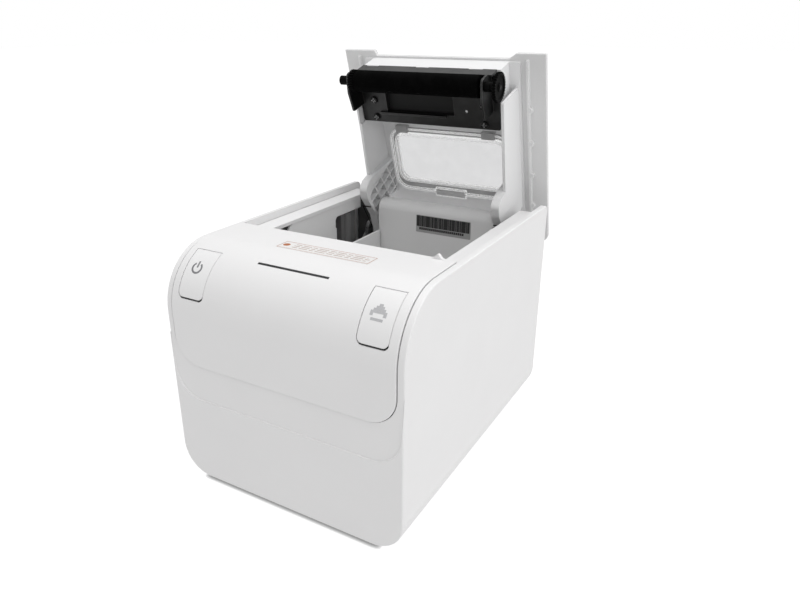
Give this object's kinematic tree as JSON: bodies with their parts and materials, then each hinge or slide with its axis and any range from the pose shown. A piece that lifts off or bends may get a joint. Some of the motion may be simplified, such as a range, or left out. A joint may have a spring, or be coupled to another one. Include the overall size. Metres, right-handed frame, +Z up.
{
  "type": "receipt printer",
  "caption": "Box-shaped receipt printer with a rounded front, front buttons, a paper bay and a hinged rear lid that carries the platen roller.",
  "frame": {"origin": "under the middle of the whole printer with its lid open, at the level its rubber feet stand on", "axes": "+Z up, +Y from the front face to the rear, +X to the right seen from the front"},
  "size_m": [0.145, 0.214, 0.2278],
  "materials": {
    "case_plastic": "fine matt texture",
    "cover_plastic": "fine matt texture",
    "lid_plastic": "satin, moulded",
    "frame_plastic": "satin, moulded",
    "clip_plastic": "satin, moulded",
    "bay_plastic": "satin, moulded",
    "button_plastic": "fine matt texture",
    "light_plastic": "translucent light guide",
    "label_paper": "printed film",
    "clear_plastic": "clear moulded plastic",
    "black_plastic": "satin, moulded",
    "black_rubber": "ground, matt",
    "foot_rubber": "moulded",
    "dark_sheet": "dark satin sheet metal",
    "steel": "bright rolled steel",
    "spring_wire": "dark oiled wire",
    "shaft_steel": "dark finish",
    "screw_steel": "zinc plated",
    "aluminium": "extruded",
    "ceramic": "glazed print head",
    "board": "solder mask",
    "socket_metal": "plated shell"
  },
  "bodies": {
    "chassis": {"outer_case": "case_plastic", "base_plate": "case_plastic", "rubber_feet": "foot_rubber", "case_screws": "screw_steel", "top_cover": "cover_plastic", "status_light_bar": "light_plastic", "notice_label": "label_paper", "button_board": "board", "button_switches": "black_plastic", "paper_bay": "bay_plastic", "paper_divider": "bay_plastic", "serial_label": "label_paper", "paper_sensor": "black_plastic", "left_hinge_bracket": "steel", "right_hinge_bracket": "steel", "hinge_pins": "steel", "mechanism_frame": "steel", "print_head": "ceramic", "head_heatsink": "aluminium", "head_springs": "steel", "spring_plate": "steel", "feed_motor": "steel", "idler_axle": "steel", "cutter_housing": "dark_sheet", "cutter_motor": "steel", "main_board": "board", "board_components": "black_plastic", "connector_panel": "case_plastic", "power_socket": "black_plastic", "drawer_socket": "black_plastic", "usb_socket": "socket_metal", "network_socket": "socket_metal"},
    "lid": {"lid_cover": "lid_plastic", "lid_frame": "frame_plastic", "left_hinge_arm": "frame_plastic", "right_hinge_arm": "frame_plastic", "left_lid_spring": "spring_wire", "right_lid_spring": "spring_wire", "lid_window": "clear_plastic", "window_clips": "clip_plastic", "platen_bracket": "dark_sheet", "bracket_tray": "black_plastic", "fixed_blade": "dark_sheet", "bracket_screws": "screw_steel", "platen_bushes": "black_plastic"},
    "platen": {"platen_shaft": "shaft_steel", "platen_roller": "black_rubber", "platen_gear": "black_plastic", "platen_end_wheel": "black_plastic"},
    "feed_key": {"feed_button": "button_plastic"},
    "power_key": {"power_button": "button_plastic"},
    "pinion": {"motor_pinion": "black_plastic"},
    "idler": {"idler_gear": "black_plastic"},
    "platen_latch": {"latch": "steel"},
    "cutter": {"cutter_blade": "steel"}
  },
  "joints": [
    {"name": "lid_hinge", "type": "hinge", "parent": "chassis", "child": "lid", "pos_m": [0, 0.07397, 0.1043], "axis": [1, 0, 0], "range_deg": [0, 72.6], "stiffness_Nm_per_rad": 0.25, "springref_deg": -34.38},
    {"name": "platen_spin", "type": "hinge", "parent": "lid", "child": "platen", "pos_m": [0, 0.03831, 0.21039], "axis": [1, 0, 0], "continuous": true},
    {"name": "feed_button_press", "type": "hinge", "parent": "chassis", "child": "feed_key", "pos_m": [0.0552, -0.08703, 0.1313], "axis": [1, 0, 0], "range_deg": [0, 2], "stiffness_Nm_per_rad": 0.4, "springref_deg": -1.15},
    {"name": "power_button_press", "type": "hinge", "parent": "chassis", "child": "power_key", "pos_m": [-0.0552, -0.08703, 0.1313], "axis": [1, 0, 0], "range_deg": [0, 2], "stiffness_Nm_per_rad": 0.4, "springref_deg": -1.15},
    {"name": "idler_spin", "type": "hinge", "parent": "chassis", "child": "idler", "pos_m": [0, -0.05715, 0.09304], "axis": [1, 0, 0], "continuous": true},
    {"name": "pinion_spin", "type": "hinge", "parent": "chassis", "child": "pinion", "pos_m": [0, -0.07209, 0.0876], "axis": [1, 0, 0], "continuous": true},
    {"name": "latch_turn", "type": "hinge", "parent": "chassis", "child": "platen_latch", "pos_m": [0, -0.04343, 0.0775], "axis": [-1, 0, 0], "range_deg": [0, 10]},
    {"name": "cutter_slide", "type": "slide", "parent": "chassis", "child": "cutter", "axis": [0, 1, 0], "range_m": [0, 0.009]}
  ],
  "couplings": [
    {"joint": "pinion_spin", "follows": "idler_spin", "ratio": -3.4286}
  ]
}
